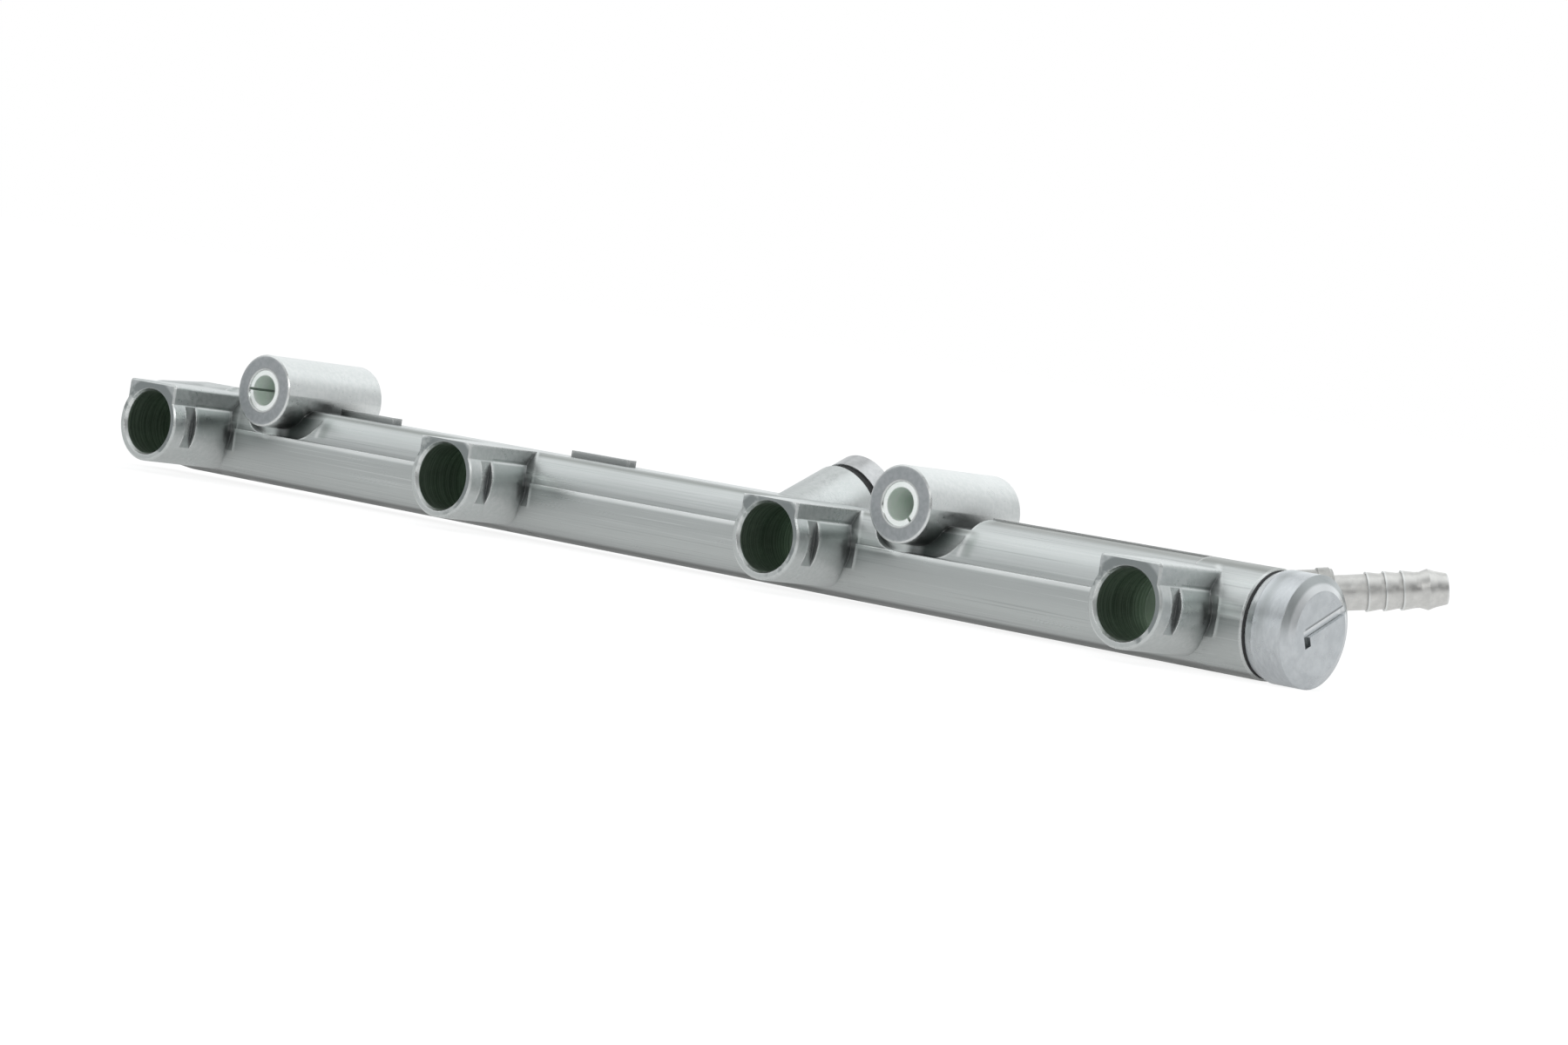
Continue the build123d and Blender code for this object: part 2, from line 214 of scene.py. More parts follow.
# Direction, cosines where the lobe starts and is full, and what it adds
WORLD_LOBES = (
    ((-0.60, -0.25, 0.76), 0.70, 1.00, 0.50),
    ((0.00, 1.00, 0.00), 0.30, 0.90, 0.32),
    ((-0.40, 0.85, 0.35), 0.75, 1.00, 0.45),
    ((0.64, -0.768, 0.0), 0.50, 0.95, -0.28),
    ((0.35, 0.25, 0.90), 0.75, 1.00, 0.80),
    ((-0.64, -0.766, 0.05), 0.965, 0.995, 0.72),
)
LAMP_TARGET = (0.11, 0.01, -0.01)
# Name, place, width, height and power
LAMPS = (
    ("top", (-0.22, 0.05, 0.85), 1.0, 0.8, 0.5),
    ("key", (0.76, -0.965, 0.55), 0.5, 0.5, 2.0),
)
CAMERA_SENSOR = 36.0
CAMERA_LENS = 127.752
CAMERA_REACH = (0.01, 100.0)
CAMERA_PLACE = (0.849821, -0.840922, 0.029573)
CAMERA_RIGHT = (0.755630, 0.636810, 0.153284)
CAMERA_UP = (-0.139286, -0.072447, 0.987599)


class Shade:
    """A node material under construction, with short calls for the nodes it needs."""

    def __init__(self, name):
        self.material = bpy.data.materials.new(name)
        self.material.use_nodes = True
        self.tree = self.material.node_tree
        self.bsdf = self.tree.nodes["Principled BSDF"]
        self.place = self.new("ShaderNodeTexCoord").outputs["Object"]
        split = self.new("ShaderNodeSeparateXYZ")
        self.link(self.place, split.inputs[0])
        self.x, self.y, self.z = split.outputs

    def new(self, kind):
        return self.tree.nodes.new(kind)

    def link(self, source, target):
        self.tree.links.new(source, target)

    def feed(self, socket, value):
        if isinstance(value, bpy.types.NodeSocket):
            self.link(value, socket)
        else:
            socket.default_value = value

    def math(self, operation, a, b=0.0):
        node = self.new("ShaderNodeMath")
        node.operation = operation
        self.feed(node.inputs[0], a)
        self.feed(node.inputs[1], b)
        return node.outputs[0]

    def plus(self, a, b):
        return self.math("ADD", a, b)

    def minus(self, a, b):
        return self.math("SUBTRACT", a, b)

    def times(self, first, *others):
        for other in others:
            first = self.math("MULTIPLY", first, other)
        return first

    def span(self, value, low, high, out_low=0.0, out_high=1.0):
        """Smooth step of a value between two limits."""
        node = self.new("ShaderNodeMapRange")
        node.interpolation_type = "SMOOTHSTEP"
        self.feed(node.inputs["Value"], value)
        node.inputs["From Min"].default_value = low
        node.inputs["From Max"].default_value = high
        node.inputs["To Min"].default_value = out_low
        node.inputs["To Max"].default_value = out_high
        return node.outputs["Result"]

    def band(self, value, middle, half_width):
        """1 at a value, falling to 0 half a width away on both sides."""
        away = self.math("ABSOLUTE", self.minus(value, middle))
        return self.span(away, half_width, 0.0)

    def noise(self, scale, detail=3.0):
        stretched = self.new("ShaderNodeVectorMath")
        stretched.operation = "MULTIPLY"
        self.link(self.place, stretched.inputs[0])
        stretched.inputs[1].default_value = scale
        node = self.new("ShaderNodeTexNoise")
        node.inputs["Scale"].default_value = 1.0
        node.inputs["Detail"].default_value = detail
        node.inputs["Roughness"].default_value = NOISE_ROUGHNESS
        self.link(stretched.outputs[0], node.inputs["Vector"])
        return node.outputs["Fac"]

    def blend(self, share, a, b):
        """Colour that goes from a to b as the share goes from 0 to 1."""
        node = self.new("ShaderNodeMix")
        node.data_type = "RGBA"
        self.feed(node.inputs["Factor"], share)
        self.feed(node.inputs["A"], a)
        self.feed(node.inputs["B"], b)
        return node.outputs["Result"]

    def paint(self, colour, share, cover, over):
        """Colour with another one over it where the share is 1, as strongly as it covers."""
        return self.blend(self.times(share, cover), colour, over)

    def mix(self, share, a, b):
        """Number that goes from a to b as the share goes from 0 to 1."""
        node = self.new("ShaderNodeMix")
        self.feed(node.inputs[0], share)
        self.feed(node.inputs[2], a)
        self.feed(node.inputs[3], b)
        return node.outputs[0]

    def bump(self, height, distance, strength=METAL_BUMP, edge=None):
        """Relief from a height, over edges that look rounded where an edge radius is given."""
        node = self.new("ShaderNodeBump")
        node.inputs["Strength"].default_value = strength
        node.inputs["Distance"].default_value = distance
        self.link(height, node.inputs["Height"])
        if edge:
            bevel = self.new("ShaderNodeBevel")
            bevel.samples = BEVEL_SAMPLES
            bevel.inputs["Radius"].default_value = edge
            self.link(bevel.outputs[0], node.inputs["Normal"])
        self.link(node.outputs[0], self.bsdf.inputs["Normal"])

    def openness(self, reach, inside=False):
        """1 where the surroundings are open, towards 0 where they are closed in."""
        node = self.new("ShaderNodeAmbientOcclusion")
        node.samples = AO_SAMPLES
        node.inside = inside
        node.only_local = True
        node.inputs["Distance"].default_value = reach
        return node.outputs["AO"]

    def edges(self, reach):
        """1 along the outer edges of the solid, 0 away from them."""
        return self.span(self.openness(reach, inside=True), *EDGE_AO)

    def shaded(self, colour, reach, low, darkest):
        """Colour with painted shade that darkens it in crevices, as far as a share of itself."""
        share = self.span(self.openness(reach), low, 1.0, darkest, 1.0)
        node = self.new("ShaderNodeMix")
        node.data_type = "RGBA"
        node.blend_type = "MULTIPLY"
        node.inputs["Factor"].default_value = 1.0
        self.feed(node.inputs["A"], colour)
        self.feed(node.inputs["B"], share)
        return node.outputs["Result"]

    def metal(self, colour, roughness):
        self.bsdf.inputs["Metallic"].default_value = 1.0
        self.feed(self.bsdf.inputs["Base Color"], colour)
        self.feed(self.bsdf.inputs["Roughness"], roughness)

    def radius(self, a, b):
        """Distance from an axis, from the two coordinates across it."""
        return self.math("SQRT", self.plus(self.times(a, a), self.times(b, b)))

    def facing(self, axis):
        """How squarely a surface faces along one of the part's own axes, either way."""
        split = self.new("ShaderNodeSeparateXYZ")
        self.link(self.new("ShaderNodeTexCoord").outputs["Normal"], split.inputs[0])
        return self.math("ABSOLUTE", split.outputs[axis])

    def from_nearest(self, value, first, pitch):
        """Distance to the nearest of a row of equal steps, with its sign."""
        past = self.minus(value, first)
        nearest = self.math("ROUND", self.math("DIVIDE", past, pitch))
        return self.minus(past, self.times(nearest, pitch))


class RailShade(Shade):
    """The rail's material, with the places and noises that its looks share."""

    def __init__(self):
        super().__init__("rail_aluminium")
        self.below = self.minus(self.z, TUBE_Z)
        self.past_cup = self.from_nearest(self.x, CUP_X, CUP_PITCH)
        self.from_cup = self.radius(self.past_cup, self.below)
        self.past_boss = self.from_nearest(self.x, 0.0, BOSS_PITCH)
        self.from_boss = self.radius(self.past_boss, self.z)
        self.tube_r = self.tube_radius()

        from_tube = self.radius(self.minus(self.y, TUBE_Y), self.below)
        self.on_tube = self.span(self.minus(from_tube, self.tube_r), *TUBE_SKIN)
        self.off_tube = self.minus(1.0, self.on_tube)
        self.on_front = self.times(self.on_tube, self.span(self.y, *TUBE_FRONT))
        self.on_boss = self.span(self.from_boss, BOSS_R + 0.0002, BOSS_R + 0.0001)
        self.in_bore = self.bore_mask()
        self.face_on = self.span(self.facing(1), *FACE_ON)
        self.end_face = self.times(self.face_on, self.off_tube)

        self.fine = self.noise(CAST_GRAIN, detail=4.0)
        self.grain = self.mix(self.on_tube, self.fine, self.noise(DRAWN, detail=4.0))
        self.patch = self.noise(CAST_PATCH)
        self.rings = self.noise(BORE_RINGS, detail=2.0)

    def tube_radius(self):
        """Radius of the gallery tube, which grows a little towards the end plug."""
        along = self.minus(self.x, TUBE_LEFT_X)
        rise = self.math("MINIMUM", self.times(along, TUBE_DRAFT), self.times(along, NOSE_TAPER))
        return self.plus(rise, TUBE_LEFT_R)

    def bore_mask(self):
        """1 inside the injector cups' bores, behind their lead-ins."""
        inside = self.span(self.from_cup, CUP_BORE_R + 0.0002, CUP_BORE_R + 0.00005)
        behind = self.span(self.y, LEAD_IN_END - 0.0001, LEAD_IN_END + 0.0001)
        before = self.span(self.y, CUP_BORE_END + 0.004, CUP_BORE_END + 0.003)
        return self.times(inside, self.times(behind, before))


def rail_skin(s):
    """Drawn and cast skin, the pale barrels of the bosses and the milled end faces, with painted
    shade on the sunk end faces right of the bosses.
    """
    broad = s.span(s.noise(BROAD, detail=2.0), 0.45, 0.75, 0.0, 0.45)
    colour = s.blend(s.patch, *SKIN)
    colour = s.blend(s.span(s.grain, 0.35, 0.7), colour, SKIN_STREAK)
    colour = s.blend(s.times(s.on_tube, broad), colour, SKIN_SHADOW)
    barrel = s.blend(s.span(s.fine, 0.35, 0.7), *BARREL)
    colour = s.paint(colour, s.on_boss, BARREL_COVER, barrel)

    grit = s.span(s.fine, 0.3, 0.72)
    ring = s.band(s.from_boss, SLEEVE_R + 0.0002, 0.0005)
    boss_face = s.paint(s.blend(grit, *BOSS_FACE), ring, *SLEEVE_RING)
    milled = s.blend(s.on_boss, s.blend(grit, *MILLED), boss_face)
    # Painted shade on the sunk end faces right of the bosses
    sunk = s.times(s.span(s.y, FLOOR_Y - 0.0003, FLOOR_Y), s.span(s.past_boss, *RIGHT_OF_BOSS))
    milled = s.paint(milled, sunk, *SUNK_FACE_SHADE)
    return s.blend(s.end_face, colour, milled)


def paint_tube(s, colour):
    """Scratches along the gallery tube, with painted shade below and above the ridge and along the
    underside, a dark line below the edge of the top flat, and a painted dark reflection along the
    crest past the flat.
    """
    # Painted shade below the ridge, darkest near it and lighter towards the bottom
    below_ridge_shade = s.times(s.on_front, s.span(s.z, RIDGE_Z - 0.0006, RIDGE_Z - 0.0012))
    lower = s.blend(s.span(s.below, *LOWER_HEIGHT), *TUBE_LOWER_SHADE)
    colour = s.paint(colour, below_ridge_shade, LOWER_COVER, lower)

    scratches = s.noise(SCRATCHES)
    dark = s.times(s.on_tube, s.span(scratches, 0.56, 0.72, 0.0, 0.5))
    colour = s.blend(dark, colour, DARK_SCRATCH)
    light = s.times(s.on_tube, s.span(scratches, 0.42, 0.30, 0.0, 0.4))
    colour = s.blend(light, colour, LIGHT_SCRATCH)

    # Painted shade along the underside of the tube
    belly = s.times(s.on_tube, s.span(s.plus(s.below, s.tube_r), *BELLY_DEPTH))
    colour = s.paint(colour, belly, *BELLY_SHADE)
    # Painted shade just above the ridge
    under_ridge = s.times(s.on_front, s.band(s.z, RIDGE_Z + 0.0006, 0.0008))
    colour = s.paint(colour, under_ridge, *RIDGE_SHADE)

    past_flat = s.span(s.x, FLAT_RIGHT_X, FLAT_RIGHT_X + 0.003)
    top_line = s.times(s.on_tube, s.minus(1.0, past_flat), s.span(s.y, TUBE_Y, TUBE_Y - 0.003))
    top_line = s.times(top_line, s.band(s.z, FLAT_LINE_Z, 0.0007))
    colour = s.paint(colour, top_line, *TOP_LINE)
    # Painted dark reflection along the crest of the tube past the flat
    near_top = s.span(s.minus(s.tube_r, s.below), *CREST_DEPTH)
    crest = s.times(s.on_tube, past_flat, near_top, s.span(s.y, *CREST_FRONT))
    return s.paint(colour, crest, *CREST_REFLECTION)


def paint_pockets(s, colour):
    """Painted highlights along the cutter recesses' edges, the pockets' walls and rims beside the
    bosses and the ridge, and painted shade on the pockets' floors and just beyond their rims.
    """
    # Painted highlight along the edges of the cutter recesses
    cut_edge = s.times(s.on_tube, s.band(s.from_cup, CUTTER_R + 0.0003, 0.0007))
    cut_edge = s.times(cut_edge, s.span(s.past_cup, *CUT_EDGE_SIDE), s.span(s.y, *CUT_EDGE_FRONT))
    cut_edge = s.times(cut_edge, s.span(s.below, *CUT_EDGE_HEIGHT))
    colour = s.paint(colour, cut_edge, *CUT_EDGE_HIGHLIGHT)

    # Painted highlight on the pockets' side walls right of the bosses
    wall = s.times(s.span(s.facing(0), *SIDE_ON), s.span(s.past_boss, *WALL_SIDE))
    wall = s.times(wall, s.span(s.past_boss, POCKET_EDGE + 0.0006, POCKET_EDGE + 0.0003))
    wall = s.times(wall, s.span(s.y, TUBE_Y + 0.001, TUBE_Y))
    wall = s.times(wall, s.span(s.from_boss, BOSS_R + 0.0002, BOSS_R + 0.0006))
    colour = s.paint(colour, wall, *POCKET_WALL_HIGHLIGHT)

    # Painted shade on the pockets' floors right of the bosses
    pocket = s.times(s.face_on, s.span(s.y, FLOOR_Y - 0.0006, FLOOR_Y - 0.0002), s.on_tube)
    pocket = s.times(pocket, s.span(s.past_boss, *RIGHT_OF_BOSS))
    pocket = s.times(pocket, s.span(s.from_boss, *POCKET_FADE))
    colour = s.paint(colour, pocket, *POCKET_FLOOR_SHADE)

    # Painted shade just beyond the pockets' rims, and a painted highlight along the rims
    over_ridge = s.times(s.on_front, s.span(s.z, RIDGE_Z + 0.0008, RIDGE_Z + 0.0016))
    behind = s.times(over_ridge, s.band(s.past_boss, POCKET_EDGE + 0.0022, 0.0018))
    colour = s.paint(colour, behind, *POCKET_BEHIND_SHADE)
    rim = s.times(over_ridge, s.band(s.past_boss, POCKET_EDGE + 0.0004, 0.0009))
    colour = s.paint(colour, rim, *POCKET_RIM_HIGHLIGHT)
    # Painted highlight along the ridge
    ridge = s.times(s.on_front, s.band(s.z, RIDGE_Z - 0.0004, 0.0006))
    return s.paint(colour, ridge, *RIDGE_HIGHLIGHT)


def paint_necks(s, colour):
    """Necks of the cups, with painted shade towards the top and a painted highlight along the line
    where the web starts.
    """
    on_neck = s.times(s.span(s.from_cup, *NECK_R), s.span(s.y, NECK_START, NECK_START + 0.001))
    on_neck = s.times(on_neck, s.off_tube, s.span(s.facing(2), *NOT_LEVEL))
    # Painted shade on the upper part of the necks
    upper = s.times(on_neck, s.span(s.below, *NECK_HEIGHT, 0.0, NECK_COVER))
    colour = s.blend(upper, colour, NECK_SHADE)
    # Painted highlight along the line where the web starts
    joint = s.times(on_neck, s.band(s.below, WEB_JOINT - 0.0001, 0.0005))
    return s.paint(colour, joint, *WEB_LINE_HIGHLIGHT)


def paint_mouths(s, colour, broken):
    """Rings round the cups' mouths, with painted shade at the upper right and painted highlight at
    the lower left.
    """
    # Upper right of the mouths in painted shade, lower left in painted highlight
    lower_left = s.span(broken, -0.003, 0.004)
    front = s.span(s.y, MOUTH_Y + 0.0003, MOUTH_Y + 0.0001)
    mouth = s.times(s.end_face, front, s.span(s.from_cup, *MOUTH_R))
    colour = s.paint(colour, mouth, MOUTH_COVER, s.blend(lower_left, *MOUTH_SHADE_AND_HIGHLIGHT))
    # Lead-ins: bright machined metal, with painted highlight at the lower left and painted shade at
    # the upper right
    near_bore = s.span(s.from_cup, CUP_BORE_R + 0.0006, CUP_BORE_R + 0.0005)
    lead_in = s.times(near_bore, s.span(s.y, LEAD_IN_END, MOUTH_Y + 0.0006))
    lead_in = s.times(lead_in, s.span(s.y, MOUTH_Y, MOUTH_Y + 0.0001))
    return s.blend(lead_in, colour, s.blend(lower_left, *LEAD_IN_SHADE_AND_HIGHLIGHT))


def shade_crevices(s, colour):
    """Painted shade in the crevices, but not on the step at the top of the left cup."""
    step = s.times(s.band(s.x, CUP_X, 0.0012), s.span(s.y, *LEFT_STEP_Y), s.span(s.z, *LEFT_STEP_Z))
    return s.blend(step, s.shaded(colour, 0.0065, 0.35, 0.3), colour)


def paint_light_under_bosses(s, colour):
    """Painted light: pale metal at the lower left of each boss, over the crevices' painted shade.
    """
    # Painted light over the painted shade in the crevices
    under = s.times(s.span(s.past_boss, *UNDER_LEFT_X), s.span(s.from_boss, *UNDER_LEFT_R))
    under = s.times(under, s.minus(1.0, s.on_boss), s.span(s.z, *UNDER_LEFT_Z))
    return s.blend(under, colour, UNDER_LEFT_LIGHT)


def rail_metal():
    """Cast tube with lengthwise tool marks, machined faces, painted shade and highlights in many
    places, and painted shade in the bores of the cups.
    """
    s = RailShade()
    colour = paint_necks(s, paint_pockets(s, paint_tube(s, rail_skin(s))))

    # How far a point lies towards the lower left of its cup, with noisy breaks: where the mouths
    # get painted highlight
    leftward = s.plus(s.times(s.past_cup, -0.6), s.times(s.below, -0.8))
    broken = s.plus(leftward, s.span(s.noise(MOUTH_BREAKS), 0.35, 0.65, -0.0035, 0.0035))
    colour = paint_mouths(s, colour, broken)
    # Bright outer edges, part wear and part painted highlight, kept off the shaded upper right of
    # the mouths
    quiet = s.times(s.span(s.from_cup, *QUIET_R), s.span(s.y, MOUTH_Y + 0.0012, MOUTH_Y + 0.0008))
    quiet = s.times(quiet, s.span(broken, 0.003, -0.002, 0.0, 0.85))
    edges = s.times(s.edges(0.0008), s.minus(1.0, quiet))
    colour = s.paint(colour, edges, *EDGE_WEAR_AND_HIGHLIGHT)
    colour = paint_light_under_bosses(s, shade_crevices(s, colour))
    # Painted shade in the cups' bores, tinted green
    colour = s.blend(s.in_bore, colour, s.blend(s.span(s.rings, 0.3, 0.7), *BORE_SHADE))

    rough = s.span(s.grain, 0.25, 0.75, *TUBE_ROUGH)
    rough = s.plus(rough, s.span(s.patch, 0.3, 0.7, *CAST_ROUGH))
    rough = s.mix(s.end_face, rough, s.span(s.fine, 0.3, 0.7, *FACE_ROUGH))
    rough = s.mix(s.times(edges, 0.7), rough, EDGE_ROUGH)
    s.metal(colour, s.mix(s.in_bore, rough, BORE_ROUGH))
    s.bump(s.mix(s.in_bore, s.grain, s.rings), RAIL_RELIEF, edge=RAIL_EDGE)
    return s.material


def patchy(s, marks, low, high):
    """Roughness between two values that follows the tool marks, and varies in patches."""
    patch = s.span(s.noise(TURNED_PATCH), 0.3, 0.7, *PATCH_ROUGH)
    return s.plus(s.span(marks, 0.25, 0.75, low, high), patch)


def plain_metal(name, dark, light, rough, scale, crevice=0.4, edge_light=0.0):
    """Metal with fine marks, painted shade in crevices, and bright edges where asked for, part wear
    and part painted highlight.
    """
    s = Shade(name)
    marks = s.noise(even(scale), detail=4.0)
    # Painted shade in crevices
    colour = s.shaded(s.blend(s.span(marks, 0.3, 0.75), dark, light), 0.003, 0.3, crevice)
    # Bright edges, part wear and part painted highlight
    if edge_light:
        colour = s.paint(colour, s.edges(0.0006), edge_light, WORN_EDGE_AND_HIGHLIGHT)
    s.metal(colour, patchy(s, marks, *rough))
    s.bump(marks, FINE_RELIEF, edge=FINE_EDGE)
    return s.material


def plug_metal():
    """Turned plug: a satin head, with painted highlight and shade on its bevel, its upper collar
    and rear and its slot, and painted shade in crevices.
    """
    s = Shade("plug_aluminium")
    marks = s.noise(TURNED, detail=4.0)
    past_y = s.minus(s.y, TUBE_Y)
    past_z = s.minus(s.z, TUBE_Z)
    from_axis = s.radius(past_y, past_z)
    ahead = s.span(s.x, PLUG_FACE_X - 0.0017, PLUG_FACE_X - 0.0015)
    upper = s.span(s.z, TUBE_Z - 0.006, TUBE_Z + 0.003)

    colour = s.blend(s.span(marks, 0.3, 0.75), *PLUG)
    # Painted shade in a band round the upper collar
    collar = s.times(upper, s.band(s.x, PLUG_BACK_X + 0.0037, 0.0018))
    colour = s.paint(colour, collar, *PLUG_COLLAR_SHADE)
    # Painted highlight on the upper rear
    rear = s.times(upper, s.span(s.x, PLUG_BACK_X + 0.0021, PLUG_BACK_X + 0.0015))
    colour = s.paint(colour, rear, *PLUG_REAR_HIGHLIGHT)
    # Painted highlight on the inner part of the front bevel, painted shade further out
    bevel = s.times(ahead, s.span(from_axis, PLUG_FACE_R - 0.0001, PLUG_FACE_R + 0.0001))
    bevel = s.times(bevel, s.span(s.z, TUBE_Z - 0.004, TUBE_Z + 0.005))
    outer = s.span(from_axis, PLUG_FACE_R + 0.0010, PLUG_FACE_R + 0.0016)
    colour = s.paint(colour, bevel, BEVEL_COVER, s.blend(outer, *PLUG_BEVEL_HIGHLIGHT_AND_SHADE))
    # Painted shade in crevices
    colour = s.shaded(colour, 0.002, 0.3, 0.6)

    over_slot = s.plus(s.times(past_y, -SLOT_RISE), s.times(past_z, SLOT_RUN))
    along_slot = s.plus(s.times(past_y, SLOT_RUN), s.times(past_z, SLOT_RISE))
    # Painted shade along the slot's upper edge
    rim = s.times(s.band(over_slot, SLOT_TOP + 0.00015, 0.0004), s.span(along_slot, *SLOT_END))
    rim = s.times(rim, s.span(s.x, PLUG_FACE_X - 0.0003, PLUG_FACE_X - 0.0001))
    colour = s.paint(colour, rim, *PLUG_RIM_SHADE)
    # Slot floor in painted highlight, with painted shade along its lower wall
    floor = s.times(ahead, s.span(s.x, PLUG_FACE_X - 0.0007, PLUG_FACE_X - 0.0008))
    floor = s.times(floor, s.span(from_axis, PLUG_FACE_R + 0.0001, PLUG_FACE_R - 0.0001))
    lit = s.span(over_slot, SLOT_TOP - 0.0018, SLOT_TOP - 0.0016)
    colour = s.blend(floor, colour, s.blend(lit, *PLUG_SLOT_SHADE_AND_HIGHLIGHT))
    s.metal(colour, patchy(s, marks, *PLUG_ROUGH))
    s.bump(marks, FINE_RELIEF, edge=FINE_EDGE)
    return s.material


def sleeve_steel():
    """Bright rolled sleeve, with painted light in its bore, which is paler, duller and not metal.
    """
    s = Shade("sleeve_steel")
    marks = s.noise(ROLLED, detail=4.0)
    from_boss = s.radius(s.from_nearest(s.x, 0.0, BOSS_PITCH), s.z)
    bore = s.span(from_boss, *SLEEVE_BORE)
    # Faint painted shade in crevices
    colour = s.shaded(s.blend(s.span(marks, 0.3, 0.75), *SLEEVE), 0.003, 0.3, 0.9)
    # Painted light in the bore: paler, duller and not metal
    colour = s.blend(bore, colour, s.blend(s.span(marks, 0.35, 0.65), *SLEEVE_INSIDE_LIGHT))
    s.metal(colour, s.mix(bore, s.span(marks, 0.25, 0.75, *SLEEVE_ROUGH), BORE_ROUGH))
    s.link(s.span(from_boss, *reversed(SLEEVE_BORE)), s.bsdf.inputs["Metallic"])
    s.bump(marks, FINE_RELIEF, edge=FINE_EDGE)
    return s.material


def seal_rubber():
    """Matt black rubber with a faint dusty bloom."""
    s = Shade("seal_rubber")
    dust = s.noise(DUST, detail=4.0)
    s.feed(s.bsdf.inputs["Base Color"], s.blend(s.span(dust, 0.45, 0.8), *RUBBER))
    s.feed(s.bsdf.inputs["Roughness"], s.span(dust, 0.3, 0.7, *RUBBER_ROUGH))
    s.bump(dust, DUST_RELIEF, strength=DUST_BUMP)
    return s.material


def dress(material, *names):
    for name in names:
        mesh = nodes[name].data
        mesh.materials.clear()
        mesh.materials.append(material)


def dress_pieces():
    """Gives each piece of the part its material."""
    port = plain_metal(
        "port_steel", rgb(0.54, 0.55, 0.555), rgb(0.68, 0.69, 0.695), (0.24, 0.34), 600.0
    )
    fitting = plain_metal(
        "fitting_metal", rgb(0.50, 0.50, 0.48), rgb(0.62, 0.62, 0.60), (0.30, 0.42), 700.0
    )
    nipple = plain_metal(
        "nipple_steel", rgb(0.70, 0.695, 0.675), rgb(0.83, 0.825, 0.80), (0.34, 0.46), 700.0,
        crevice=0.55, edge_light=0.8,
    )
    core = plain_metal(
        "core_plug_metal", rgb(0.58, 0.59, 0.59), rgb(0.68, 0.69, 0.69), (0.30, 0.42), 500.0
    )
    dress(rail_metal(), "rail_body")
    dress(plug_metal(), "end_plug")
    dress(sleeve_steel(), "mount_sleeve_left", "mount_sleeve_right")
    dress(core, "left_plug")
    dress(port, "port_plug")
    dress(fitting, "inlet_elbow")
    dress(nipple, "hose_nipple")
    dress(seal_rubber(), "end_plug_seal", "port_plug_seal", "inlet_seal")


def white_share(tree, glossy):
    """How much of a backdrop's plain white a ray sees: all for the camera, part for gloss."""
    path = tree.nodes.new("ShaderNodeLightPath")
    gloss = tree.nodes.new("ShaderNodeMath")
    gloss.operation = "MULTIPLY_ADD"
    tree.links.new(path.outputs["Is Glossy Ray"], gloss.inputs[0])
    gloss.inputs[1].default_value = glossy
    tree.links.new(path.outputs["Is Camera Ray"], gloss.inputs[2])
    both = tree.nodes.new("ShaderNodeMath")
    both.operation = "ADD"
    both.use_clamp = True
    tree.links.new(gloss.outputs[0], both.inputs[0])
    tree.links.new(path.outputs["Is Transmission Ray"], both.inputs[1])
    return both.outputs[0]


def mix_shaders(tree, share, first, second, output):
    """Sends a mix of two shaders to a new output node of the kind given."""
    mix = tree.nodes.new("ShaderNodeMixShader")
    tree.links.new(share, mix.inputs["Fac"])
    tree.links.new(first, mix.inputs[1])
    tree.links.new(second, mix.inputs[2])
    tree.links.new(mix.outputs[0], tree.nodes.new(output).inputs["Surface"])


def lay_floor():
    """Pale floor under the part, white to the camera but for the part's shadow."""
    level = cad_box[0].z
    mesh = bpy.data.meshes.new("floor")
    sides = ((-1, -1), (1, -1), (1, 1), (-1, 1))
    corners = [(x * FLOOR_HALF, y * FLOOR_HALF, level) for x, y in sides]
    mesh.from_pydata(corners, [], [(0, 1, 2, 3)])
    floor = bpy.data.objects.new("floor", mesh)
    bpy.context.scene.collection.objects.link(floor)
    material = bpy.data.materials.new("floor")
    material.use_nodes = True
    tree = material.node_tree
    tree.nodes.clear()
    pale = tree.nodes.new("ShaderNodeBsdfDiffuse")
    pale.inputs["Color"].default_value = FLOOR_COLOUR
    white = tree.nodes.new("ShaderNodeEmission")
    white.inputs["Strength"].default_value = FLOOR_WHITE
    share = tree.nodes.new("ShaderNodeMath")
    share.operation = "MULTIPLY"
    tree.links.new(white_share(tree, FLOOR_GLOSS), share.inputs[0])
    share.inputs[1].default_value = FLOOR_WHITE_SHARE
    share = share.outputs[0]
    mix_shaders(tree, share, pale.outputs[0], white.outputs[0], "ShaderNodeOutputMaterial")
    mesh.materials.append(material)


def lobe(tree, place, towards, low, high, amount):
    """Soft patch of light, or of dimness, that grows towards a direction."""
    angle = tree.nodes.new("ShaderNodeVectorMath")
    angle.operation = "DOT_PRODUCT"
    tree.links.new(place, angle.inputs[0])
    angle.inputs[1].default_value = towards
    ramp = tree.nodes.new("ShaderNodeMapRange")
    ramp.interpolation_type = "SMOOTHSTEP"
    tree.links.new(angle.outputs["Value"], ramp.inputs["Value"])
    ramp.inputs["From Min"].default_value = low
    ramp.inputs["From Max"].default_value = high
    ramp.inputs["To Min"].default_value = 0.0
    ramp.inputs["To Max"].default_value = amount
    return ramp.outputs["Result"]


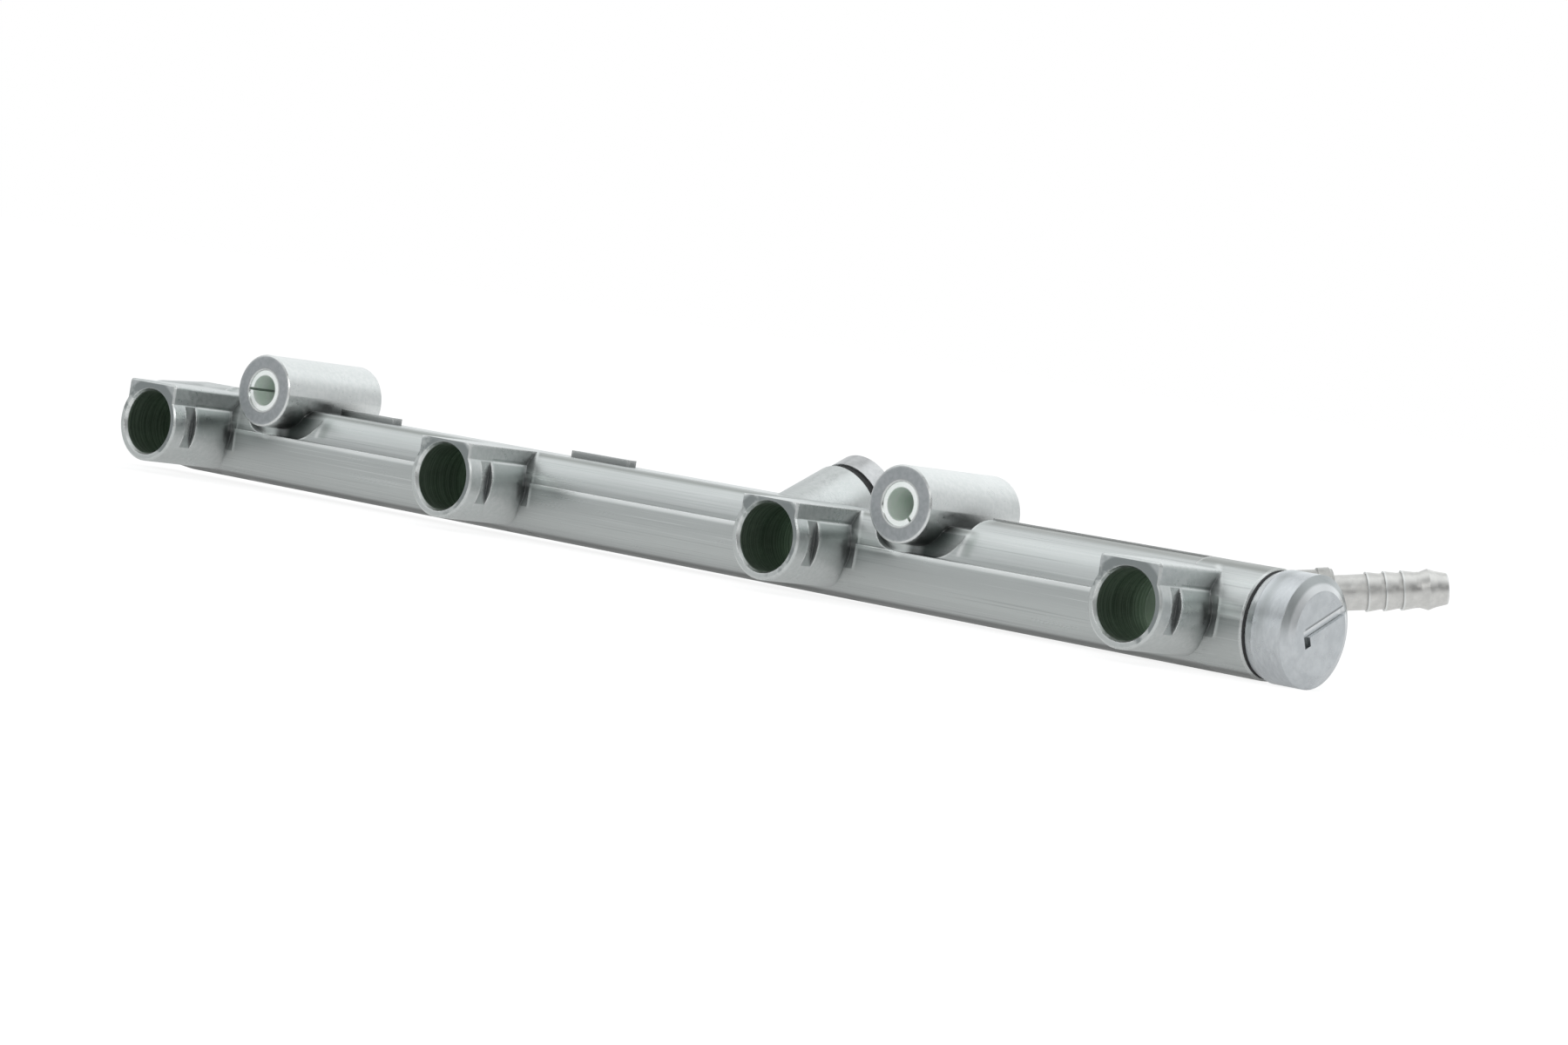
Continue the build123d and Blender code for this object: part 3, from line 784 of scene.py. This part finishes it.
def set_world():
    """Studio surroundings: a soft box up on the left, a pale wall behind, a dim viewer's side."""
    world = bpy.data.worlds.new("studio")
    bpy.context.scene.world = world
    world.use_nodes = True
    tree = world.node_tree
    tree.nodes.clear()
    place = tree.nodes.new("ShaderNodeTexCoord")
    level = None
    for towards, low, high, amount in WORLD_LOBES:
        patch = lobe(tree, place.outputs["Generated"], towards, low, high, amount)
        total = tree.nodes.new("ShaderNodeMath")
        total.operation = "ADD"
        tree.links.new(patch, total.inputs[0])
        if level is None:
            total.inputs[1].default_value = WORLD_BASE
        else:
            tree.links.new(level, total.inputs[1])
        level = total.outputs[0]
    around = tree.nodes.new("ShaderNodeBackground")
    around.inputs["Color"].default_value = WORLD_COLOUR
    tree.links.new(level, around.inputs["Strength"])
    white = tree.nodes.new("ShaderNodeBackground")
    white.inputs["Color"].default_value = rgb(1.0, 1.0, 1.0)
    share = white_share(tree, WORLD_GLOSS)
    mix_shaders(tree, share, around.outputs[0], white.outputs[0], "ShaderNodeOutputWorld")


def set_lamps():
    """White rectangular lamps that point at the middle of the part."""
    for name, place, width, height, power in LAMPS:
        lamp = bpy.data.lights.new(name, "AREA")
        lamp.shape = "RECTANGLE"
        lamp.size = width
        lamp.size_y = height
        lamp.energy = power
        thing = bpy.data.objects.new(name, lamp)
        bpy.context.scene.collection.objects.link(thing)
        thing.location = place
        aim = Vector(LAMP_TARGET) - Vector(place)
        thing.rotation_euler = aim.to_track_quat("-Z", "Y").to_euler()


def set_camera():
    """Camera at the photograph's place, as fitted to its edges and openings."""
    data = bpy.data.cameras.new("camera")
    data.sensor_fit = "HORIZONTAL"
    data.sensor_width = CAMERA_SENSOR
    data.lens = CAMERA_LENS
    data.clip_start, data.clip_end = CAMERA_REACH
    camera = bpy.data.objects.new("camera", data)
    bpy.context.scene.collection.objects.link(camera)
    right = Vector(CAMERA_RIGHT).normalized()
    up = Vector(CAMERA_UP)
    up = (up - right * up.dot(right)).normalized()
    turn = Matrix((right, up, right.cross(up))).transposed().to_4x4()
    camera.matrix_world = Matrix.Translation(CAMERA_PLACE) @ turn
    bpy.context.scene.camera = camera


dress_pieces()
lay_floor()
set_world()
set_lamps()
set_camera()
bpy.context.scene.view_settings.view_transform = "Standard"
